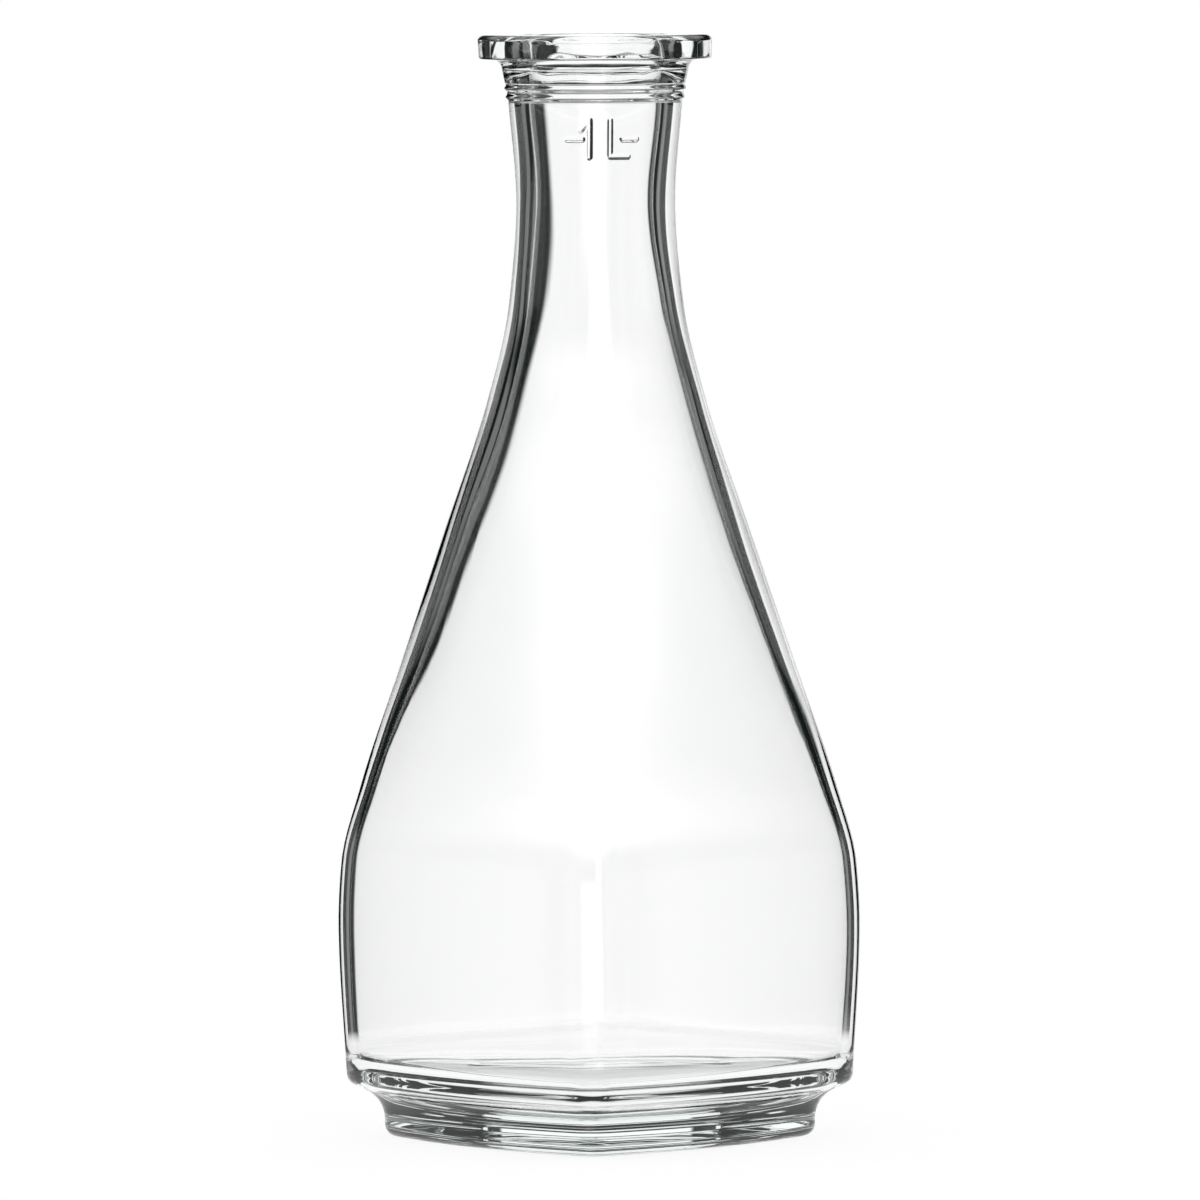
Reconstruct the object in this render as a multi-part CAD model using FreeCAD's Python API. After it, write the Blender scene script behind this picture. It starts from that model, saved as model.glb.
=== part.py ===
"""One-litre glass carafe: a square body that tapers to a round neck, on a stepped square foot.

Millimetres, +Z up. The origin is the centre of the face that the carafe stands on, and the
flat sides face along X and Y. The glass is drawn once, as an outer form less its cavity, and is
then divided at level planes into the named zones of a bottle, which meet face to face.
"""

import FreeCAD
import Part
import math
import os
from collections import namedtuple

Vector = FreeCAD.Vector

# Foot: the smaller square that the carafe stands on. A square's size is given across its corners
FOOT_DIAGONAL = 103.8
FOOT_CORNER_RADIUS = 8.0
FOOT_HEIGHT = 9.2
FOOT_EDGE_RADIUS = 3.0
COVE_RADIUS = 8.0
PUSH_UP_DIAMETER = 64.0
PUSH_UP_DEPTH = 2.0

# Heel: the overhanging lower edge of the body, carried on a sloping ledge
LEDGE_RISE = 4.3
HEEL_DIAGONAL = 121.9
HEEL_EDGE_RADIUS = 3.0
HEEL_HEIGHT = 8.5

# Body: slightly barrelled walls, bowed between rounded corners
BODY_DIAGONAL = 125.7
BODY_CORNER_RADIUS = 13.0
BODY_TOP_DIAGONAL = 124.2
BELLY_HEIGHT = 30.0
BODY_TOP_HEIGHT = 14.0
SIDE_BOW_ANGLE = 15.0

# Shoulder: a straight taper with a bend at each end, whose corners open out until it is round
BEND_HEIGHT = 18.0
TAPER_FOOT_DIAGONAL = 115.0
TAPER_FOOT_CORNER_RADIUS = 14.0
TAPER_HEIGHT = 93.0
TAPER_TOP_DIAMETER = 52.8
TAPER_LOW_CORNER_RADIUS = 27.0
TAPER_HIGH_CORNER_RADIUS = 30.0

# Neck: round, with a waist
NECK_ROOT_HEIGHT = 24.0
NECK_ROOT_DIAMETER = 41.9
NECK_WAIST_HEIGHT = 24.0
NECK_WAIST_DIAMETER = 38.2
NECK_TOP_HEIGHT = 24.0
NECK_TOP_DIAMETER = 41.8
ROUND_SIDE_ANGLE = 22.5
LOFT_PITCH = 9.0

# Collar: fine rings and a flared band under the lip
RING_COUNT = 2
RING_PITCH = 2.1
RING_PROUD = 0.5
RING_FLARE = 0.3
BAND_BASE_DIAMETER = 43.5
BAND_TOP_DIAMETER = 44.8
BAND_HEIGHT = 3.2
LIP_COVE_RADIUS = 2.8

# Lip: the flat round rim
LIP_DIAMETER = 56.2
LIP_HEIGHT = 5.8
LIP_TOP_EDGE_RADIUS = 1.5
LIP_UNDER_EDGE_RADIUS = 0.6
MOUTH_DIAMETER = 32.0
MOUTH_EDGE_RADIUS = 1.8

# Wall thickness, measured square to the outer face
FLOOR_THICKNESS = 14.4
FLOOR_FILLET_RADIUS = 8.0
BODY_WALL = 3.6
TAPER_FOOT_WALL = 4.4
SHOULDER_WALL = 6.1
NECK_WALL = 4.8

# Fill line on the neck, for one litre, and the density of soda-lime glass
FILL_LINE_BELOW_RIM = 25.2
GLASS_G_PER_MM3 = 0.0025

# Heights worked out from the zones, from the standing face up
Z_HEEL = FOOT_HEIGHT + LEDGE_RISE
Z_HEEL_TOP = Z_HEEL + HEEL_HEIGHT
Z_BELLY = Z_HEEL_TOP + BELLY_HEIGHT
Z_BODY_TOP = Z_BELLY + BODY_TOP_HEIGHT
Z_TAPER_FOOT = Z_BODY_TOP + BEND_HEIGHT
Z_TAPER_TOP = Z_TAPER_FOOT + TAPER_HEIGHT
Z_NECK_ROOT = Z_TAPER_TOP + NECK_ROOT_HEIGHT
Z_WAIST = Z_NECK_ROOT + NECK_WAIST_HEIGHT
Z_COLLAR = Z_WAIST + NECK_TOP_HEIGHT
Z_BAND = Z_COLLAR + RING_COUNT * RING_PITCH
Z_LIP = Z_BAND + BAND_HEIGHT + LIP_COVE_RADIUS
Z_RIM = Z_LIP + LIP_HEIGHT
Z_FILL = Z_RIM - FILL_LINE_BELOW_RIM

# A level cut through the glass: half its size across the corners, the corner radius, and half
# the angle that each side's bow turns through
Section = namedtuple("Section", "z half_diagonal corner_radius side_angle")


def square_section(z, diagonal, corner_radius):
    return Section(z, diagonal / 2, corner_radius, math.radians(SIDE_BOW_ANGLE))


def round_section(z, diameter):
    return Section(z, diameter / 2, diameter / 2, math.radians(ROUND_SIDE_ANGLE))


def between(low, high, share):
    """The section that lies on the straight lines from one section to another."""
    return Section(*(a + (b - a) * share for a, b in zip(low, high)))


def inset(section, wall):
    """The same section with its wall taken off all round."""
    return section._replace(
        half_diagonal=section.half_diagonal - wall,
        corner_radius=section.corner_radius - wall,
    )


def section_wire(section):
    """Four bowed sides and four corners, each an arc tangent to the next."""
    z, half, corner, turn = section
    offset = (half - corner) / math.sqrt(2)
    bow = corner + offset / math.sin(turn)
    bow_x = offset * (1 - 1 / math.tan(turn))
    arcs = [
        (bow_x, 0, bow, (-turn, 0, turn)),
        (offset, offset, corner, (turn, math.pi / 4, math.pi / 2 - turn)),
    ]
    edges = []
    for quarter in range(4):
        swing = FreeCAD.Rotation(Vector(0, 0, 1), 90 * quarter)
        for x, y, radius, angles in arcs:
            points = [Vector(x + radius * math.cos(a), y + radius * math.sin(a), z) for a in angles]
            edges.append(Part.Arc(*(swing.multVec(point) for point in points)).toShape())
    return Part.Wire(edges)


def gentle_slopes(stations, size):
    """Slope of one size at each station, level where it turns back, so that no curve overshoots."""
    steps = [(high[size] - low[size]) / (high.z - low.z) for low, high in zip(stations, stations[1:])]
    inner = [2 * a * b / (a + b) if a * b > 0 else 0 for a, b in zip(steps, steps[1:])]
    return [steps[0], *inner, steps[-1]]


def section_at(stations, z):
    """The section at a height, on smooth curves through the stations."""
    index = sum(station.z <= z for station in stations[1:-1])
    low, high = stations[index:index + 2]
    span = high.z - low.z
    t = (z - low.z) / span
    sizes = []
    for size in (1, 2, 3):
        slopes = gentle_slopes(stations, size)
        near = low[size] * (1 + 2 * t) + slopes[index] * span * t
        far = high[size] * (3 - 2 * t) - slopes[index + 1] * span * (1 - t)
        sizes.append(near * (1 - t) ** 2 + far * t ** 2)
    return Section(z, *sizes)


def smooth_loft(stations):
    """A solid through the stations, with even sections between them to hold its curves."""
    low, high = stations[0].z, stations[-1].z
    count = math.ceil((high - low) / LOFT_PITCH)
    return loft([section_at(stations, low + (high - low) * i / count) for i in range(count + 1)])


def loft(sections):
    return Part.makeLoft([section_wire(section) for section in sections], True)


def level_edges(shape, z):
    """Every edge that lies in the level plane at z."""
    near = 1e-4
    return [e for e in shape.Edges if abs(e.BoundBox.ZMin - z) < near and abs(e.BoundBox.ZMax - z) < near]


def revolve(points_and_arcs):
    """Turns an outline in the XZ plane about Z. An arc is a pair (point on it, its end)."""
    start = Vector(points_and_arcs[0][0], 0, points_and_arcs[0][1])
    edges, here = [], start
    for item in points_and_arcs[1:]:
        if isinstance(item[0], tuple):
            (mid_x, mid_z), (end_x, end_z) = item
            end = Vector(end_x, 0, end_z)
            edges.append(Part.Arc(here, Vector(mid_x, 0, mid_z), end).toShape())
        else:
            end = Vector(item[0], 0, item[1])
            edges.append(Part.LineSegment(here, end).toShape())
        here = end
    edges.append(Part.LineSegment(here, start).toShape())
    face = Part.Face(Part.Wire(edges))
    return face.revolve(Vector(0, 0, 0), Vector(0, 0, 1), 360)


def taper_stations():
    """Four even steps up the straight taper, from the square foot to the round top."""
    foot = square_section(Z_TAPER_FOOT, TAPER_FOOT_DIAGONAL, TAPER_FOOT_CORNER_RADIUS)
    top = round_section(Z_TAPER_TOP, TAPER_TOP_DIAMETER)
    low = between(foot, top, 1 / 3)._replace(corner_radius=TAPER_LOW_CORNER_RADIUS)
    high = between(foot, top, 2 / 3)._replace(corner_radius=TAPER_HIGH_CORNER_RADIUS)
    return [foot, low, high, top]


def outer_stations():
    return [
        square_section(Z_HEEL, HEEL_DIAGONAL, BODY_CORNER_RADIUS),
        square_section(Z_BELLY, BODY_DIAGONAL, BODY_CORNER_RADIUS),
        square_section(Z_BODY_TOP, BODY_TOP_DIAGONAL, BODY_CORNER_RADIUS),
        *taper_stations(),
        round_section(Z_NECK_ROOT, NECK_ROOT_DIAMETER),
        round_section(Z_WAIST, NECK_WAIST_DIAMETER),
        round_section(Z_COLLAR, NECK_TOP_DIAMETER),
    ]


def cavity_stations():
    """The outer stations less the wall, from the floor to the foot of the mouth's bore."""
    heel, belly, body_top, foot, low, high, taper_top, root, waist, top = outer_stations()
    floor = between(heel, belly, (FLOOR_THICKNESS - heel.z) / (belly.z - heel.z))
    return [
        inset(floor, BODY_WALL),
        inset(belly, BODY_WALL),
        inset(body_top, BODY_WALL),
        inset(foot, TAPER_FOOT_WALL),
        inset(low, SHOULDER_WALL),
        inset(high, SHOULDER_WALL),
        inset(taper_top, NECK_WALL),
        inset(root, NECK_WALL),
        inset(waist, NECK_WALL),
        round_section(top.z, MOUTH_DIAMETER),
    ]


def foot_form():
    """Square foot with a rounded standing edge, and the ledge that slopes out to the heel."""
    foot = square_section(0, FOOT_DIAGONAL, FOOT_CORNER_RADIUS)
    prism = Part.Face(section_wire(foot)).extrude(Vector(0, 0, FOOT_HEIGHT))
    prism = prism.makeFillet(FOOT_EDGE_RADIUS, level_edges(prism, 0))
    ledge = loft([foot._replace(z=FOOT_HEIGHT), outer_stations()[0]])
    return prism.fuse(ledge)


def push_up():
    """Shallow dome pressed up into the underside, which leaves a flat rim to stand on."""
    half = PUSH_UP_DIAMETER / 2
    ball = (half ** 2 + PUSH_UP_DEPTH ** 2) / (2 * PUSH_UP_DEPTH)
    return Part.makeSphere(ball, Vector(0, 0, PUSH_UP_DEPTH - ball))


def body_form():
    """Body, shoulder and neck in one smooth loft on the foot, with a rounded heel and cove."""
    form = smooth_loft(outer_stations()).fuse(foot_form())
    form = form.makeFillet(HEEL_EDGE_RADIUS, level_edges(form, Z_HEEL))
    return form.makeFillet(COVE_RADIUS, level_edges(form, FOOT_HEIGHT))


def collar_form():
    """Fine rings, flared band, and the cove that carries the lip."""
    groove = NECK_TOP_DIAMETER / 2
    outline = [(0, Z_COLLAR), (groove, Z_COLLAR)]
    for ring in range(RING_COUNT):
        crest = groove + RING_FLARE / 2 + RING_PROUD
        groove += RING_FLARE
        low = Z_COLLAR + ring * RING_PITCH
        outline.append(((crest, low + RING_PITCH / 2), (groove, low + RING_PITCH)))
    band = BAND_TOP_DIAMETER / 2
    diagonal = LIP_COVE_RADIUS * (1 - math.sqrt(0.5))
    outline += [
        (BAND_BASE_DIAMETER / 2, Z_BAND),
        (band, Z_BAND + BAND_HEIGHT),
        ((band + diagonal, Z_LIP - diagonal), (band + LIP_COVE_RADIUS, Z_LIP)),
        (0, Z_LIP),
    ]
    return revolve(outline)


def lip_form():
    """Flat rim with rounded outer edges."""
    disc = Part.makeCylinder(LIP_DIAMETER / 2, LIP_HEIGHT, Vector(0, 0, Z_LIP))
    disc = disc.makeFillet(LIP_UNDER_EDGE_RADIUS, level_edges(disc, Z_LIP))
    return disc.makeFillet(LIP_TOP_EDGE_RADIUS, level_edges(disc, Z_RIM))


def cavity_form():
    """The liquid's space and the round mouth above it, with a rounded floor and rim."""
    liquid = smooth_loft(cavity_stations())
    liquid = liquid.makeFillet(FLOOR_FILLET_RADIUS, level_edges(liquid, FLOOR_THICKNESS))
    mouth = MOUTH_DIAMETER / 2
    z_edge = Z_RIM - MOUTH_EDGE_RADIUS
    diagonal = MOUTH_EDGE_RADIUS * (1 - math.sqrt(0.5))
    bore = revolve([
        (0, Z_COLLAR),
        (mouth, Z_COLLAR),
        (mouth, z_edge),
        ((mouth + diagonal, Z_RIM - diagonal), (mouth + MOUTH_EDGE_RADIUS, Z_RIM)),
        (0, Z_RIM),
    ])
    return liquid.fuse(bore)


def carafe_glass():
    """The whole carafe as one piece of glass."""
    outside = body_form().fuse([collar_form(), lip_form()])
    return outside.cut([cavity_form(), push_up()])


def slab(z_low, z_high):
    """A wide level slice of space."""
    width = 4 * max(BODY_DIAGONAL, HEEL_DIAGONAL, LIP_DIAMETER)
    return Part.makeBox(width, width, z_high - z_low, Vector(-width / 2, -width / 2, z_low))


def main():
    glass = carafe_glass()
    levels = [0, FOOT_HEIGHT, Z_HEEL_TOP, Z_BODY_TOP, Z_NECK_ROOT, Z_COLLAR, Z_LIP, Z_RIM]
    names = ["foot", "heel", "body", "shoulder", "neck", "collar", "lip"]
    os.makedirs("parts", exist_ok=True)
    for name, z_low, z_high in zip(names, levels, levels[1:]):
        zone = glass.common(slab(z_low, z_high))
        zone.exportStep(f"parts/{name}.step")
        print(f"{name}: {len(zone.Solids)} solid, z {z_low:.1f} to {z_high:.1f}, valid {zone.isValid()}")
    filled = cavity_form().common(slab(0, Z_FILL))
    print(f"overall height {Z_RIM:.1f} mm, fill line at {Z_FILL:.1f} mm")
    print(f"capacity to the fill line {filled.Volume / 1000:.1f} ml")
    print(f"glass {glass.Volume * GLASS_G_PER_MM3:.0f} g")


main()
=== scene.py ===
"""Clear glass carafe for one litre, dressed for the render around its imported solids.

The glass is one seamless closed skin, inside and out, so that light bends through it as it does
through the real piece. Sizes are in millimetres, as in the part's source, until the mesh is laid.
"""

import logging
import math
from dataclasses import dataclass, field, replace
from enum import Enum

import bpy
import numpy as np
from mathutils import Euler, Matrix

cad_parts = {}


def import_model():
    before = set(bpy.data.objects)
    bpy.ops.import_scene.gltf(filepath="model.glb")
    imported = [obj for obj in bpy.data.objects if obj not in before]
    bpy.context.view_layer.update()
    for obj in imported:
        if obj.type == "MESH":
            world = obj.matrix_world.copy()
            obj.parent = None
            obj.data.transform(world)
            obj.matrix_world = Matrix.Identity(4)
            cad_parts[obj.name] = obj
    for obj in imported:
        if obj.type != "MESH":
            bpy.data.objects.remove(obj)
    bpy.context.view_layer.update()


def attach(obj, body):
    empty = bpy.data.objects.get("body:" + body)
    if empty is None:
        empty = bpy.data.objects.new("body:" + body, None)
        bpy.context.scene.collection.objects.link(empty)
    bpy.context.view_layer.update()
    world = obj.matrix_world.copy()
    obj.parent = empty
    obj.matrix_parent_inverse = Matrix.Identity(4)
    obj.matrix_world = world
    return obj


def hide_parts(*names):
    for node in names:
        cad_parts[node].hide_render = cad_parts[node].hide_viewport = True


MM = 0.001
# A ring this small merges into one point and closes the skin.
POLE = 0.001
# Points closer than this, in metres, become one.
MERGE_DISTANCE = 0.000005
# The least radius that is left of a corner when a wall is taken off.
SHARPEST_CORNER = 0.01
# The bow of a circle's sides, whose eight arcs all turn through the same angle.
ROUND_ANGLE = 22.5
BODY = "root"
GLASS_NODES = ("foot", "heel", "body", "shoulder", "neck", "collar", "lip")
LOG = logging.getLogger("carafe")


class Face(Enum):
    """Which side of the glass a ring lies on."""

    OUTSIDE = "outside"
    INSIDE = "inside"


def linear_colour(hex_value: str) -> tuple[float, float, float, float]:
    """Turns an sRGB hex value into the linear colour that shaders take.

    Args:
        hex_value: Six hex digits with a leading hash.

    Returns:
        Linear red, green and blue, with an alpha of one.
    """
    channels = [int(hex_value[i:i + 2], 16) / 255 for i in (1, 3, 5)]
    linear = [c / 12.92 if c <= 0.04045 else ((c + 0.055) / 1.055) ** 2.4 for c in channels]
    return (*linear, 1.0)


def add_node(tree: bpy.types.NodeTree, kind: str, settings: dict | None = None,
             values: dict | None = None, links: dict | None = None) -> bpy.types.Node:
    """Adds one node with its settings, socket values and incoming links.

    Args:
        tree: Node tree that takes the node.
        kind: Blender's name of the node type.
        settings: Node properties by name.
        values: Input values by socket name or number.
        links: Source output sockets by the input they go to.

    Returns:
        The new node.
    """
    node = tree.nodes.new(kind)
    for name, value in (settings or {}).items():
        setattr(node, name, value)
    for name, value in (values or {}).items():
        node.inputs[name].default_value = value
    for name, source in (links or {}).items():
        tree.links.new(source, node.inputs[name])
    return node


@dataclass(frozen=True)
class Section:
    """A level cut through the glass: a square with bowed sides and round corners.

    A circle is the case where the corner radius is the whole half diagonal.
    """

    z: float
    half_diagonal: float
    corner_radius: float
    side_angle: float

    def inset(self, wall: float) -> "Section":
        """The same section with a wall taken off all round."""
        corner = max(self.corner_radius - wall, SHARPEST_CORNER)
        return replace(self, half_diagonal=self.half_diagonal - wall, corner_radius=corner)

    def at(self, z: float) -> "Section":
        """The same section at another height."""
        return replace(self, z=z)

    def toward(self, other: "Section", share: float) -> "Section":
        """The section part of the way to another one.

        Args:
            other: Section at the far end.
            share: How far to go, from 0 here to 1 there.

        Returns:
            The section in between.
        """
        return Section(
            self.z + (other.z - self.z) * share,
            self.half_diagonal + (other.half_diagonal - self.half_diagonal) * share,
            self.corner_radius + (other.corner_radius - self.corner_radius) * share,
            self.side_angle + (other.side_angle - self.side_angle) * share,
        )

    def reach(self, angles: np.ndarray) -> np.ndarray:
        """Distance from the axis to the outline.

        Args:
            angles: Directions round the axis, in radians.

        Returns:
            One distance for each direction.
        """
        turn = math.radians(self.side_angle)
        offset = (self.half_diagonal - self.corner_radius) / math.sqrt(2)
        bow = self.corner_radius + offset / math.sin(turn)
        bow_x = offset * (1 - 1 / math.tan(turn))
        switch = math.atan2(bow * math.sin(turn), bow_x + bow * math.cos(turn))
        fold = np.abs((angles + math.pi / 4) % (math.pi / 2) - math.pi / 4)
        across = np.maximum(bow ** 2 - (bow_x * np.sin(fold)) ** 2, 0)
        side = bow_x * np.cos(fold) + np.sqrt(across)
        under = self.corner_radius ** 2 - offset ** 2 * (1 - np.sin(2 * fold))
        corner = offset * (np.cos(fold) + np.sin(fold)) + np.sqrt(np.maximum(under, 0))
        return np.where(fold <= switch, side, corner)


def circle(z: float, radius: float) -> Section:
    """A round section."""
    return Section(z, radius, radius, ROUND_ANGLE)


def section_at(stations: list[Section], z: float) -> Section:
    """The section at a height, on smooth curves through the stations that never overshoot.

    Args:
        stations: Known sections in rising order.
        z: Height between the first and the last of them.

    Returns:
        The section there.
    """
    index = sum(station.z <= z for station in stations[1:-1])
    low, high = stations[index], stations[index + 1]
    span = high.z - low.z
    t = (z - low.z) / span
    sizes = []
    for size in ("half_diagonal", "corner_radius", "side_angle"):
        values = [getattr(station, size) for station in stations]
        steps = [(values[i + 1] - values[i]) / (stations[i + 1].z - stations[i].z)
                 for i in range(len(stations) - 1)]
        inner = [2 * a * b / (a + b) if a * b > 0 else 0.0 for a, b in zip(steps, steps[1:])]
        slopes = [steps[0], *inner, steps[-1]]
        near = values[index] * (1 + 2 * t) + slopes[index] * span * t
        far = values[index + 1] * (3 - 2 * t) - slopes[index + 1] * span * (1 - t)
        sizes.append(near * (1 - t) ** 2 + far * t ** 2)
    return Section(z, *sizes)


def rounded(points: list[tuple[float, float]], radii: list[float],
            steps: int) -> list[tuple[float, float]]:
    """Rounds the corners of an open outline.

    Args:
        points: Outline corners as (reach, height).
        radii: Radius at each inner corner.
        steps: Points along each arc.

    Returns:
        The outline with arcs at its corners.
    """
    line = [points[0]]
    for before, corner, after, radius in zip(points, points[1:], points[2:], radii):
        here = np.array(corner)
        back = np.array(before) - here
        ahead = np.array(after) - here
        back = back / np.linalg.norm(back)
        ahead = ahead / np.linalg.norm(ahead)
        half = math.acos(max(-1.0, min(1.0, float(back @ ahead)))) / 2
        middle = back + ahead
        centre = here + middle / np.linalg.norm(middle) * radius / math.sin(half)
        start = here + back * radius / math.tan(half) - centre
        end = here + ahead * radius / math.tan(half) - centre
        sweep = math.pi - 2 * half
        for step in range(steps):
            t = step / (steps - 1)
            mix = math.sin((1 - t) * sweep) * start + math.sin(t * sweep) * end
            line.append(tuple(float(v) for v in centre + mix / math.sin(sweep)))
    line.append(points[-1])
    return line


@dataclass(frozen=True)
class Wave:
    """One wave in the glass: its share, how often it goes round, its climb and its start."""

    share: float
    turns: float
    climb: float = 0.0
    start: float = 0.0

    def at(self, angles: np.ndarray, z: float) -> np.ndarray:
        """Height of the wave in each direction, at one level."""
        return self.share * np.sin(self.turns * angles + self.climb * z + self.start)


@dataclass
class FillMark:
    """The raised line and figure for one litre on the front of the neck.

    Each stroke runs from one point to another, given as (to the right, up) from the mark's middle.
    """

    height: float = 240.4
    bearing: float = -36.8
    stroke_half_width: float = 0.95
    proud: float = 0.56
    below: float = 6.3
    above: float = 6.5
    left_dash: tuple = ((-9.0, -0.1), (-5.2, -0.1))
    one_flag: tuple = ((-5.7, 2.1), (-3.6, 4.5))
    one_stem: tuple = ((-3.6, 4.5), (-3.6, -4.4))
    litre_stem: tuple = ((1.3, 4.5), (1.3, -4.2))
    litre_foot: tuple = ((1.3, -4.2), (5.8, -4.2))
    right_dash: tuple = ((4.3, -0.1), (8.0, -0.1))

    def strokes(self) -> tuple:
        """Every stroke of the mark, from left to right."""
        return (self.left_dash, self.one_flag, self.one_stem,
                self.litre_stem, self.litre_foot, self.right_dash)

    def relief(self, along: np.ndarray, up: float) -> np.ndarray:
        """How far the mark stands out of the neck.

        Args:
            along: Distance round the neck from the mark's middle, to the right.
            up: Height above the mark's middle.

        Returns:
            Relief at each place, zero away from the strokes.
        """
        nearest = np.full(along.shape, np.inf)
        for (x0, y0), (x1, y1) in self.strokes():
            dx, dy = x1 - x0, y1 - y0
            t = np.clip(((along - x0) * dx + (up - y0) * dy) / (dx * dx + dy * dy), 0, 1)
            nearest = np.minimum(nearest, np.hypot(along - x0 - t * dx, up - y0 - t * dy))
        share = np.clip(1 - nearest / self.stroke_half_width, 0, 1)
        return self.proud * share * share * (3 - 2 * share)


@dataclass(frozen=True)
class SodaLimeGlass:
    """Clear soda-lime glass, blown and fire-polished.

    It is colourless through a wall, faintly green along an edge, and as smooth as a liquid, with
    slow ripples left by the mould. The ripple's depth is in metres, as the bump takes it.
    """

    name: str = "soda_lime_glass"
    tint: str = "#ffffff"
    depth_tint: str = "#d3ece2"
    depth_density: float = 3.0
    ior: float = 1.52
    ripple_mm: float = 14.0
    ripple_strength: float = 0.012
    ripple_depth: float = 0.002
    haze_mm: float = 22.0
    haze_start: float = 0.35
    haze_full: float = 0.7
    haze_roughness: float = 0.012

    def material(self) -> bpy.types.Material:
        """Builds the glass material.

        Returns:
            The material, with its depth tint as volume absorption.
        """
        material = bpy.data.materials.new(self.name)
        material.use_nodes = True
        tree = material.node_tree
        tree.nodes.clear()
        place = add_node(tree, "ShaderNodeTexCoord").outputs["Object"]
        ripple = add_node(tree, "ShaderNodeTexNoise",
                          values={"Scale": 1 / (self.ripple_mm * MM), "Detail": 1.0},
                          links={"Vector": place})
        bump = add_node(tree, "ShaderNodeBump",
                        values={"Strength": self.ripple_strength, "Distance": self.ripple_depth},
                        links={"Height": ripple.outputs["Fac"]})
        haze = add_node(tree, "ShaderNodeTexNoise",
                        values={"Scale": 1 / (self.haze_mm * MM), "Detail": 2.0},
                        links={"Vector": place})
        rough = add_node(tree, "ShaderNodeMapRange",
                         values={"From Min": self.haze_start, "From Max": self.haze_full,
                                 "To Min": 0.0, "To Max": self.haze_roughness},
                         links={"Value": haze.outputs["Fac"]})
        surface = add_node(
            tree, "ShaderNodeBsdfPrincipled",
            values={"Base Color": linear_colour(self.tint), "IOR": self.ior,
                    "Transmission Weight": 1.0},
            links={"Roughness": rough.outputs["Result"], "Normal": bump.outputs["Normal"]},
        )
        depth = add_node(tree, "ShaderNodeVolumeAbsorption",
                         values={"Color": linear_colour(self.depth_tint),
                                 "Density": self.depth_density})
        add_node(tree, "ShaderNodeOutputMaterial",
                 links={"Surface": surface.outputs["BSDF"], "Volume": depth.outputs["Volume"]})
        return material


@dataclass(frozen=True)
class SkinDensity:
    """How closely the skin's points stand.

    Column densities add up and are relative, pitches and margins are in millimetres, reaches in
    degrees, and shares run from a ring at the edge (0) to the middle (1).
    """

    fine_steps: int = 7200
    column_share: float = 24.0
    plain: float = 0.42
    at_corner: float = 0.85
    corner_reach: float = 14.0
    at_mark: float = 1.1
    mark_reach: float = 29.0
    wall_pitch: float = 3.0
    mark_pitch: float = 0.28
    bore_pitch: float = 1.2
    foot_arc: int = 9
    collar_arc: int = 8
    fillet_arc: int = 9
    ring_steps: int = 10
    push_up_reaches: tuple = (POLE, 2, 6, 11, 16, 21, 26, 30, 31.5)
    rim_shares: tuple = (0.04, 0.3, 0.6, 0.9)
    floor_shares: tuple = (0.03, 0.07, 0.11, 0.15, 0.2, 0.25, 0.3, 0.36, 0.43,
                           0.5, 0.58, 0.66, 0.74, 0.82, 0.9, 0.96, 1.0)


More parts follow.
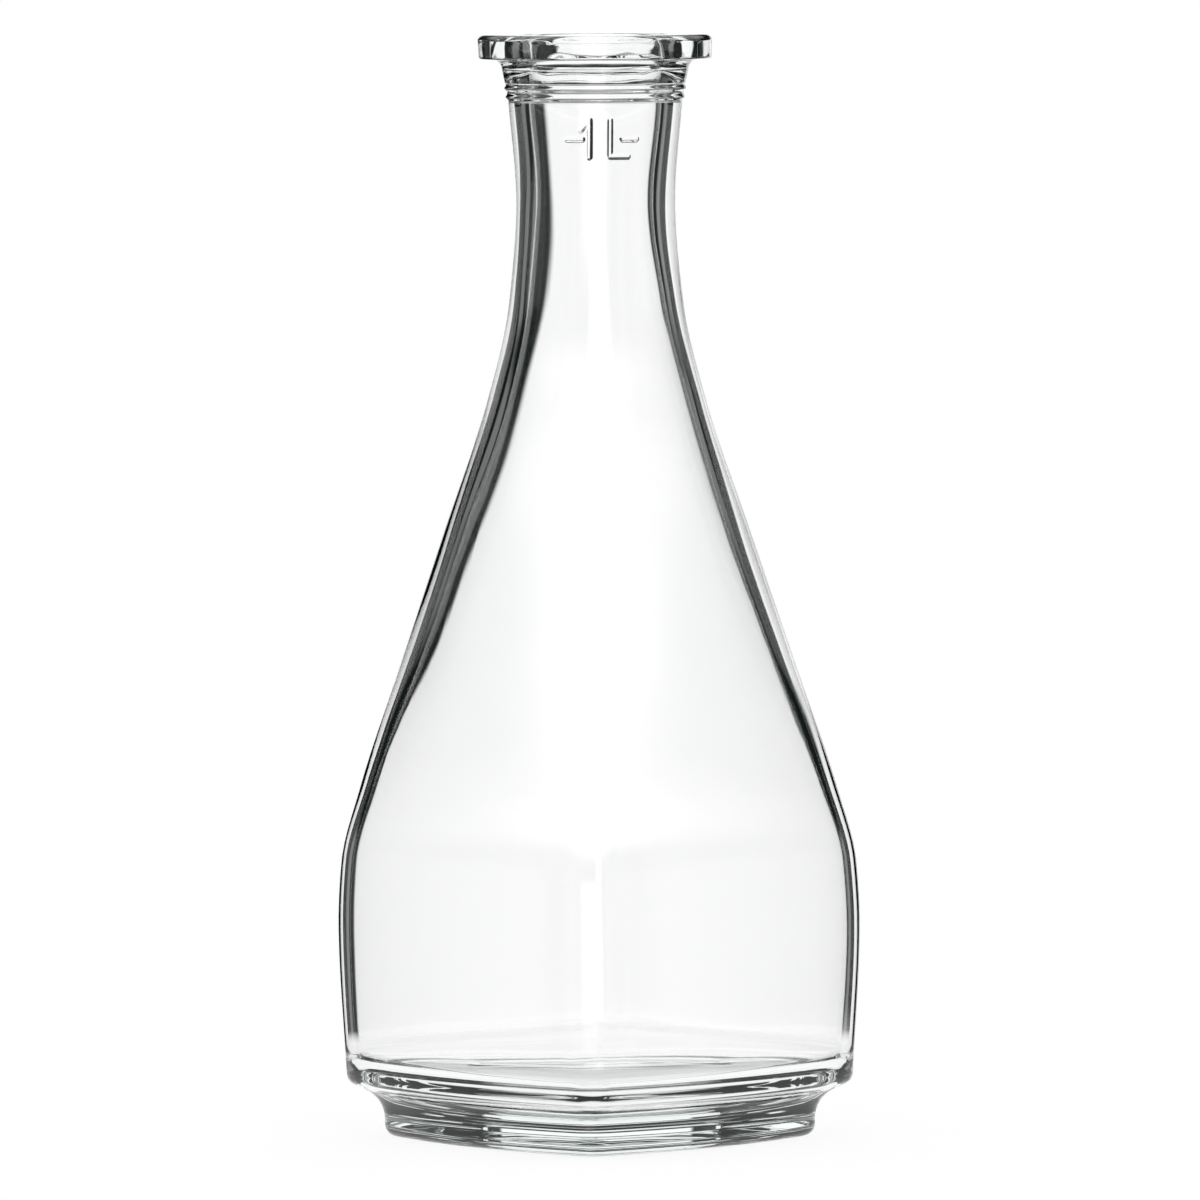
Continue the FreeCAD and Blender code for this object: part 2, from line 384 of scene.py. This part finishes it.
@dataclass
class CarafeGlass:
    """The carafe's glass: foot, heel, body, shoulder, neck, collar and lip in one skin.

    Square stations are (height, diagonal, corner radius), round ones are (height, diameter), and
    the walls are those at each station from the floor up.
    """

    foot_diagonal: float = 103.8
    foot_corner: float = 8.0
    foot_height: float = 9.2
    foot_edge: float = 3.0
    cove: float = 8.0
    push_up_diameter: float = 64.0
    push_up_depth: float = 2.0
    heel_z: float = 13.5
    heel_edge: float = 3.0
    bow_angle: float = 15.0
    square_stations: tuple = (
        (13.5, 121.9, 13.0), (52.0, 125.7, 13.0), (66.0, 124.2, 13.0), (84.0, 115.0, 14.0),
    )
    taper_top: tuple = (177.0, 52.8)
    taper_corners: tuple = (27.0, 30.0)
    neck_stations: tuple = ((201.0, 41.9), (225.0, 38.2), (249.0, 41.8))
    ring_count: int = 2
    ring_pitch: float = 2.1
    ring_proud: float = 0.5
    ring_flare: float = 0.3
    band_base: float = 43.5
    band_top: float = 44.8
    band_height: float = 3.2
    band_step: float = 0.2
    band_low_edge: float = 0.25
    band_high_edge: float = 0.3
    lip_cove: float = 2.8
    lip_diameter: float = 56.2
    rim_z: float = 265.0
    lip_top_edge: float = 1.5
    lip_under_edge: float = 0.6
    mouth_diameter: float = 32.0
    mouth_edge: float = 1.8
    floor_z: float = 14.4
    floor_fillet: float = 8.0
    walls: tuple = (3.6, 3.6, 3.6, 4.4, 6.1, 6.1, 4.8, 4.8, 4.8)
    wall_wave: float = 0.12
    wall_waves: tuple = (Wave(1.0, 2, 0.031, 0.6), Wave(0.7, 3, -0.052, 2.1),
                         Wave(0.45, 5, 0.09), Wave(0.3, 1, 0.16))
    lip_wave: float = 0.11
    lip_climb: float = 2.1
    lip_sway: tuple = (Wave(1.4, 3, start=0.4), Wave(0.8, 7))
    lip_beat: Wave = Wave(0.4, 13, 0.5)
    collar_share: float = 0.2
    mark: FillMark = field(default_factory=FillMark)
    finish: SodaLimeGlass = field(default_factory=SodaLimeGlass)
    density: SkinDensity = field(default_factory=SkinDensity)

    @property
    def collar_z(self) -> float:
        """Height at which the neck ends and the collar starts."""
        return self.neck_stations[-1][0]

    def outer_stations(self) -> list[Section]:
        """The outside of the glass from the heel to the collar.

        Returns:
            Sections in rising order.
        """
        squares = [Section(z, d / 2, r, self.bow_angle) for z, d, r in self.square_stations]
        top = circle(self.taper_top[0], self.taper_top[1] / 2)
        steps = len(self.taper_corners) + 1
        taper = [replace(squares[-1].toward(top, (i + 1) / steps), corner_radius=corner)
                 for i, corner in enumerate((*self.taper_corners, top.corner_radius))]
        return [*squares, *taper, *(circle(z, d / 2) for z, d in self.neck_stations)]

    def inner_stations(self) -> list[Section]:
        """The cavity from its floor to the foot of the mouth's bore.

        Returns:
            Sections in rising order.
        """
        outer = self.outer_stations()
        heel, belly = outer[0], outer[1]
        floor = heel.toward(belly, (self.floor_z - heel.z) / (belly.z - heel.z)).at(self.floor_z)
        cavity = [station.inset(wall) for station, wall in zip((floor, *outer[1:-1]), self.walls)]
        return [*cavity, circle(outer[-1].z, self.mouth_diameter / 2)]

    def columns(self) -> np.ndarray:
        """Directions of the upright edge lines, closer at the corners and at the fill mark.

        Returns:
            Angles round the axis, in radians, from 0 to a full turn.
        """
        lay = self.density
        fine = np.linspace(0, 360, lay.fine_steps + 1)[:-1]
        to_corner = np.abs((fine - 45) % 90 - 45)
        to_corner = np.minimum(to_corner, 90 - to_corner)
        to_mark = np.abs((fine - self.mark.bearing + 180) % 360 - 180)
        density = (lay.plain + lay.at_corner * (to_corner < lay.corner_reach)
                   + lay.at_mark * (to_mark < lay.mark_reach))
        path = np.concatenate(([0.0], np.cumsum(density)))
        count = int(round(path[-1] / lay.column_share))
        even = np.linspace(0, path[-1], count + 1)[:-1]
        return np.radians(np.interp(even, path, np.append(fine, 360.0)))

    def foot_section(self) -> Section:
        """The foot's outline at the table."""
        return Section(0.0, self.foot_diagonal / 2, self.foot_corner, self.bow_angle)

    def base_rings(self) -> list[Section]:
        """Rings under the foot.

        Returns:
            Sections from the middle of the push-up out to the standing edge.
        """
        half = self.push_up_diameter / 2
        ball = (half ** 2 + self.push_up_depth ** 2) / (2 * self.push_up_depth)
        dome = [circle(self.push_up_depth - ball + math.sqrt(ball ** 2 - r ** 2), r)
                for r in self.density.push_up_reaches]
        rim = circle(0.0, half)
        edge = self.foot_section().inset(self.foot_edge)
        return [*dome, *(rim.toward(edge, share) for share in self.density.rim_shares)]

    def foot_rings(self) -> list[Section]:
        """Rings up the foot, through the cove and over the heel's rounded edge.

        Returns:
            Sections in rising order.
        """
        run_in, run_out = 6, 8
        foot = self.foot_section()
        outer = self.outer_stations()
        heel, above = outer[0], section_at(outer, self.heel_z + run_out)
        line = rounded(
            [(foot.half_diagonal - run_in, 0.0), (foot.half_diagonal, 0.0),
             (foot.half_diagonal, self.foot_height), (heel.half_diagonal, self.heel_z),
             (above.half_diagonal, above.z)],
            [self.foot_edge, self.cove, self.heel_edge], self.density.foot_arc,
        )
        rings = []
        for reach, z in line[1:-1]:
            share = (reach - foot.half_diagonal) / (heel.half_diagonal - foot.half_diagonal)
            inward = foot.inset(foot.half_diagonal - reach)
            rings.append((inward if share < 0 else foot.toward(heel, share)).at(z))
        return rings

    def wall_rings(self) -> list[Section]:
        """Rings up the outside, from the heel to the collar, close together at the fill mark.

        Returns:
            Sections in rising order.
        """
        stations = self.outer_stations()
        low = self.foot_rings()[-1].z + 1.5
        mark_low = self.mark.height - self.mark.below
        mark_high = self.mark.height + self.mark.above
        heights = [
            *np.arange(low, mark_low - 1, self.density.wall_pitch),
            *np.arange(mark_low, mark_high, self.density.mark_pitch),
            *np.linspace(mark_high + 0.5, self.collar_z - 0.3, 3),
        ]
        return [section_at(stations, z) for z in heights]

    def collar_rings(self) -> list[Section]:
        """Rings over the collar's fine rings, its band and the cove, and round the lip.

        Returns:
            Sections from the neck's top, over the rim and down the mouth's bore.
        """
        groove = self.neck_stations[-1][1] / 2
        line = []
        for ring in range(self.ring_count):
            for t in np.linspace(0, 1, self.density.ring_steps + 1)[:-1]:
                bump = self.ring_proud * (0.5 - 0.5 * math.cos(2 * math.pi * t))
                reach = groove + self.ring_flare * (ring + t) + bump
                line.append((reach, self.collar_z + (ring + t) * self.ring_pitch))
        band_z = self.collar_z + self.ring_count * self.ring_pitch
        lip_z = band_z + self.band_height + self.lip_cove
        lip, band, mouth = self.lip_diameter / 2, self.band_top / 2, self.mouth_diameter / 2
        line += rounded(
            [(groove + self.ring_flare * self.ring_count, band_z),
             (self.band_base / 2, band_z + self.band_step), (band, band_z + self.band_height),
             (band + 0.05, lip_z), (lip, lip_z), (lip, self.rim_z), (mouth, self.rim_z),
             (mouth, self.collar_z + 1.0)],
            [self.band_low_edge, self.band_high_edge, self.lip_cove - 0.1, self.lip_under_edge,
             self.lip_top_edge, self.mouth_edge], self.density.collar_arc,
        )
        bore_top = self.rim_z - self.mouth_edge - 0.6
        bore = np.arange(bore_top, self.collar_z + 0.4, -self.density.bore_pitch)
        return [circle(z, reach) for reach, z in (*line[:-1], *((mouth, z) for z in bore))]

    def cavity_rings(self) -> list[Section]:
        """Rings down the inside.

        Returns:
            Sections from the foot of the bore to the middle of the floor.
        """
        stations = self.inner_stations()
        low = self.floor_z + self.floor_fillet
        heights = np.arange(self.collar_z - 1.0, low + 1.5, -self.density.wall_pitch)
        rings = [section_at(stations, z) for z in heights]
        for turn in np.linspace(0, math.pi / 2, self.density.fillet_arc):
            z = self.floor_z + self.floor_fillet * (1 - math.sin(turn))
            ring = section_at(stations, z)
            rings.append(ring.inset(self.floor_fillet * (1 - math.cos(turn))))
        edge, middle = rings[-1], circle(self.floor_z, POLE)
        return [*rings, *(edge.toward(middle, share) for share in self.density.floor_shares)]

    def rings(self) -> list[tuple[Face, Section]]:
        """Every ring of the skin in one run, from the underside up, over the lip and down inside.

        Returns:
            Pairs of the glass's side and the section.
        """
        outside = [*self.base_rings(), *self.foot_rings(),
                   *self.wall_rings(), *self.collar_rings()]
        return [*((Face.OUTSIDE, ring) for ring in outside),
                *((Face.INSIDE, ring) for ring in self.cavity_rings())]

    def wall_ripple(self, angles: np.ndarray, z: float) -> np.ndarray:
        """Slow unevenness of the blown inner wall, which fades out at the mouth and the floor.

        Args:
            angles: Directions round the axis, in radians.
            z: Height of the ring.

        Returns:
            How far the wall stands out in each direction.
        """
        off_floor = min(max((z - self.floor_z - 2) / 14, 0), 1)
        off_mouth = min(max((self.rim_z - 22 - z) / 20, 0), 1)
        waves = sum(wave.at(angles, z) for wave in self.wall_waves)
        return self.wall_wave * off_floor * off_mouth * waves

    def lip_ripple(self, angles: np.ndarray, z: float) -> np.ndarray:
        """Fine unevenness that the press leaves round the collar, the lip and the bore.

        Args:
            angles: Directions round the axis, in radians.
            z: Height of the ring.

        Returns:
            How far the glass stands out in each direction.
        """
        sway = sum(wave.at(angles, z) for wave in self.lip_sway)
        share = 1.0 if z > self.rim_z - 6 else self.collar_share
        level = np.sin(self.lip_climb * z + sway)
        return self.lip_wave * share * (level + self.lip_beat.at(angles, z))

    def mark_relief(self, angles: np.ndarray, ring: Section) -> np.ndarray:
        """Relief of the fill mark along one ring of the neck.

        Args:
            angles: Directions round the axis, in radians.
            ring: The neck's section there.

        Returns:
            How far the mark stands out in each direction.
        """
        turn = angles - math.radians(self.mark.bearing)
        turn = (turn + math.pi) % (2 * math.pi) - math.pi
        return self.mark.relief(turn * ring.half_diagonal, ring.z - self.mark.height)

    def lay_skin(self) -> np.ndarray:
        """Works out where every ring's points lie.

        Returns:
            Points by ring and column, in metres.
        """
        angles = self.columns()
        rows = []
        for face, ring in self.rings():
            reach = ring.reach(angles)
            if face is Face.INSIDE:
                reach = np.maximum(reach + self.wall_ripple(angles, ring.z), 0.0)
            elif ring.z > self.collar_z + 1:
                reach = reach + self.lip_ripple(angles, ring.z)
            elif -self.mark.below <= ring.z - self.mark.height <= self.mark.above:
                reach = reach + self.mark_relief(angles, ring)
            level = np.full_like(angles, ring.z)
            rows.append(np.stack([reach * np.cos(angles), reach * np.sin(angles), level], 1))
        return np.array(rows) * MM

    def build(self) -> bpy.types.Object:
        """Models the skin: a circle drawn up ring by ring, then shaped and closed at both poles.

        Returns:
            The finished glass object, riding on the frame.
        """
        points = self.lay_skin()
        ring_total, column_total = points.shape[:2]
        bpy.ops.object.select_all(action="DESELECT")
        bpy.ops.mesh.primitive_circle_add(vertices=column_total, radius=1.0)
        glass = bpy.context.object
        glass.name = glass.data.name = "carafe_glass"
        bpy.ops.object.mode_set(mode="EDIT")
        bpy.ops.mesh.select_all(action="SELECT")
        bpy.ops.mesh.extrude_repeat(steps=ring_total - 1, offset=(0, 0, 1))
        bpy.ops.object.mode_set(mode="OBJECT")
        self.shape(glass, points)
        bpy.ops.object.mode_set(mode="EDIT")
        bpy.ops.mesh.select_all(action="SELECT")
        bpy.ops.mesh.remove_doubles(threshold=MERGE_DISTANCE)
        bpy.ops.mesh.normals_make_consistent(inside=False)
        bpy.ops.object.mode_set(mode="OBJECT")
        bpy.ops.object.shade_smooth()
        glass.data.materials.append(self.finish.material())
        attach(glass, BODY)
        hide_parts(*GLASS_NODES)
        return glass

    @staticmethod
    def shape(glass: bpy.types.Object, points: np.ndarray) -> None:
        """Moves each point of the drawn-up tube to its place on the skin.

        Args:
            glass: Tube of unit radius whose rings stand one unit apart.
            points: Places by ring and column, in metres.
        """
        column_total = points.shape[1]
        raw = np.empty(len(glass.data.vertices) * 3)
        glass.data.vertices.foreach_get("co", raw)
        x, y, z = raw.reshape(-1, 3).T
        row = np.rint(z).astype(int)
        column = np.rint(np.arctan2(-x, y) / (2 * math.pi) * column_total).astype(int)
        placed = points[row, column % column_total]
        glass.data.vertices.foreach_set("co", placed.reshape(-1))
        glass.data.update()


@dataclass
class RaySums:
    """Sums on a ray's direction, written as nodes of the world."""

    tree: bpy.types.NodeTree

    def number(self, operation: str, first: "bpy.types.NodeSocket | float",
               second: "bpy.types.NodeSocket | float | None" = None) -> bpy.types.NodeSocket:
        """Adds one sum of one or two terms.

        Args:
            operation: Blender's name of the sum.
            first: Socket or plain number.
            second: Socket or plain number, where the sum takes two.

        Returns:
            The socket that holds the result.
        """
        node = add_node(self.tree, "ShaderNodeMath", {"operation": operation})
        for index, item in enumerate((first, second)):
            if isinstance(item, bpy.types.NodeSocket):
                self.tree.links.new(item, node.inputs[index])
            elif item is not None:
                node.inputs[index].default_value = item
        return node.outputs["Value"]

    def up_to(self, value: bpy.types.NodeSocket, limit: float,
              soft: float) -> bpy.types.NodeSocket:
        """One up to a limiting angle and zero past it.

        Args:
            value: Angle in radians.
            limit: Limit in degrees.
            soft: Half the width of the limit's soft edge, in degrees.

        Returns:
            The socket that holds the step.
        """
        edge = add_node(self.tree, "ShaderNodeMapRange", {"interpolation_type": "SMOOTHSTEP"}, {
            "From Min": math.radians(limit - soft), "From Max": math.radians(limit + soft),
            "To Min": 1.0, "To Max": 0.0,
        }, {"Value": value})
        return edge.outputs["Result"]

    def screens(self, bearing: bpy.types.NodeSocket, centre: float, half_width: float,
                spacing: float, soft: float) -> bpy.types.NodeSocket:
        """White screens at even spacing round the set.

        Args:
            bearing: Ray's direction round the set, in radians.
            centre: Direction of the middle of one screen, in degrees.
            half_width: Half of a screen's width, in degrees.
            spacing: From one screen's middle to the next one's, in degrees.
            soft: Half the width of a screen's soft edge, in degrees.

        Returns:
            The socket that is one on a screen and zero between screens.
        """
        turned = self.number("SUBTRACT", bearing, math.radians(centre - spacing / 2))
        wrapped = self.number("FLOORED_MODULO", turned, math.radians(spacing))
        offset = self.number("SUBTRACT", wrapped, math.radians(spacing / 2))
        return self.up_to(self.number("ABSOLUTE", offset), half_width, soft)


@dataclass
class Studio:
    """Bright-field set: a pale floor, white screens with dark gaps between them, and the camera.

    The back screens stand before and behind the corner that faces the camera, the side screens to
    its left and right, and a narrow face screen square to each flat side. Their directions, half
    widths and edges are in degrees, and lengths are in metres.
    """

    paper: str = "#f2f3f2"
    screen: str = "#ffffff"
    gap: str = "#121816"
    floor_radius: float = 0.26
    floor_fade: float = 0.5
    floor_gap: float = 0.0003
    floor_glow: float = 0.86
    floor_glow_strength: float = 1.03
    screen_strength: float = 1.1
    mirrored_share: float = 0.18
    screen_turn: float = 131.5
    face_turn: float = 90.0
    back_screen: float = 18.5
    side_screen: float = 27.0
    face_screen: float = 5.0
    soft_edge: float = 2.0
    screen_top: float = 9.0
    top_edge: float = 3.0
    overhead: float = 24.0
    overhead_edge: float = 5.0
    camera_bearing: float = 47.0
    camera_distance: float = 3.1
    camera_height: float = 0.315
    aim: tuple[float, float] = (0.0006, 0.1292)
    frame_width: float = 0.2883
    sensor_width: float = 36.0
    clip_end: float = 20.0
    roll: float = -0.26

    def paper_material(self) -> bpy.types.Material:
        """Builds the floor's matt paper, which glows a little and fades out towards its edge.

        Returns:
            The material.
        """
        material = bpy.data.materials.new("matt_white_paper")
        material.use_nodes = True
        tree = material.node_tree
        tree.nodes.clear()
        sheet = add_node(tree, "ShaderNodeBsdfDiffuse", values={"Color": linear_colour(self.paper)})
        glow = add_node(tree, "ShaderNodeEmission", values={
            "Color": linear_colour(self.screen), "Strength": self.floor_glow_strength})
        both = add_node(tree, "ShaderNodeMixShader", values={"Fac": self.floor_glow},
                        links={1: sheet.outputs["BSDF"], 2: glow.outputs["Emission"]})
        place = add_node(tree, "ShaderNodeTexCoord").outputs["Object"]
        reach = add_node(tree, "ShaderNodeVectorMath", {"operation": "LENGTH"}, links={0: place})
        fade = add_node(
            tree, "ShaderNodeMapRange", {"interpolation_type": "SMOOTHSTEP"},
            {"From Min": self.floor_radius * self.floor_fade, "From Max": self.floor_radius},
            {"Value": reach.outputs["Value"]})
        clear = add_node(tree, "ShaderNodeBsdfTransparent")
        faded = add_node(tree, "ShaderNodeMixShader", links={
            0: fade.outputs["Result"], 1: both.outputs["Shader"], 2: clear.outputs["BSDF"]})
        add_node(tree, "ShaderNodeOutputMaterial", links={"Surface": faded.outputs["Shader"]})
        return material

    def floor(self) -> bpy.types.Object:
        """Lays the round pale floor just under the foot.

        Returns:
            The floor.
        """
        bpy.ops.object.select_all(action="DESELECT")
        bpy.ops.mesh.primitive_circle_add(vertices=96, radius=self.floor_radius, fill_type="NGON",
                                          location=(0, 0, -self.floor_gap))
        floor = bpy.context.object
        floor.name = floor.data.name = "studio_floor"
        floor.data.materials.append(self.paper_material())
        return floor

    def world(self) -> None:
        """Surrounds the set with white screens, dark in between, and white overhead.

        Only rays that the glass bends or mirrors meet them. The camera sees plain white, and the
        floor is lit evenly from all round. The screens are a little over white to make up for
        what the walls reflect, and rays that the glass mirrors see dimmer screens at the sides.
        """
        world = bpy.data.worlds.new("bright_field")
        bpy.context.scene.world = world
        world.use_nodes = True
        tree = world.node_tree
        tree.nodes.clear()
        sums = RaySums(tree)
        direction = add_node(tree, "ShaderNodeTexCoord").outputs["Generated"]
        axes = add_node(tree, "ShaderNodeSeparateXYZ", links={"Vector": direction})
        bearing = sums.number("ARCTAN2", axes.outputs["Y"], axes.outputs["X"])
        rise = sums.number("ARCSINE", axes.outputs["Z"])
        back = sums.screens(bearing, self.screen_turn, self.back_screen, 180, self.soft_edge)
        side = sums.screens(bearing, self.screen_turn + 90, self.side_screen, 180, self.soft_edge)
        face = sums.screens(bearing, self.face_turn, self.face_screen, 90, self.soft_edge)

        path = add_node(tree, "ShaderNodeLightPath")
        mirrored = sums.number("MINIMUM", path.outputs["Glossy Depth"], 1.0)
        loss = sums.number("MULTIPLY", mirrored, self.mirrored_share - 1.0)
        beside = sums.number("MULTIPLY", sums.number("MAXIMUM", side, face),
                             sums.number("ADD", loss, 1.0))
        upright = sums.number("MULTIPLY", sums.number("MAXIMUM", back, beside),
                              sums.up_to(rise, self.screen_top, self.top_edge))
        above = sums.number("SUBTRACT", 1.0, sums.up_to(rise, self.overhead, self.overhead_edge))
        white = sums.number("MAXIMUM", upright, above)
        surround = add_node(tree, "ShaderNodeMix", {"data_type": "RGBA"}, {
            6: linear_colour(self.gap), 7: linear_colour(self.screen)}, {0: white})
        bent = sums.number("MAXIMUM", path.outputs["Is Glossy Ray"],
                           path.outputs["Is Transmission Ray"])
        seen = add_node(tree, "ShaderNodeMix", {"data_type": "RGBA"},
                        {6: linear_colour(self.screen)}, {0: bent, 7: surround.outputs[2]})
        extra = sums.number("MULTIPLY", bent, self.screen_strength - 1.0)
        light = add_node(tree, "ShaderNodeBackground", links={
            "Color": seen.outputs[2], "Strength": sums.number("ADD", extra, 1.0)})
        add_node(tree, "ShaderNodeOutputWorld", links={"Surface": light.outputs["Background"]})

    def camera(self) -> None:
        """Sets the camera at the photograph's angle: corner on, a little above, from far off."""
        bearing = math.radians(self.camera_bearing)
        data = bpy.data.cameras.new("camera")
        camera = bpy.data.objects.new("camera", data)
        bpy.context.collection.objects.link(camera)
        right = np.array([math.cos(bearing), math.sin(bearing), 0.0])
        place = np.array([math.sin(bearing), -math.cos(bearing), 0.0]) * self.camera_distance
        place = place + np.array([0, 0, self.camera_height])
        sight = right * self.aim[0] + np.array([0, 0, self.aim[1]]) - place
        distance = float(np.linalg.norm(sight))
        pitch = math.asin(sight[2] / distance)
        heading = math.atan2(-sight[0], sight[1])
        level = Euler((math.pi / 2 + pitch, 0.0, heading)).to_matrix()
        rolled = level @ Matrix.Rotation(math.radians(self.roll), 3, "Z")
        camera.location = place
        camera.rotation_euler = rolled.to_euler()
        data.sensor_width = self.sensor_width
        data.lens = self.sensor_width * distance / self.frame_width
        data.clip_end = self.clip_end
        bpy.context.scene.camera = camera


def main() -> None:
    """Loads the frame, builds the glass and the set, and notes both sizes."""
    logging.basicConfig(level=logging.INFO, format="%(name)s: %(message)s")
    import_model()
    glass = CarafeGlass().build()
    LOG.info("%s: %d points, %d faces", glass.name, len(glass.data.vertices),
             len(glass.data.polygons))
    studio = Studio()
    floor = studio.floor()
    LOG.info("%s: %.2f m across", floor.name, 2 * studio.floor_radius)
    studio.world()
    studio.camera()
    bpy.context.scene.view_settings.view_transform = "Standard"


if __name__ == "__main__":
    main()
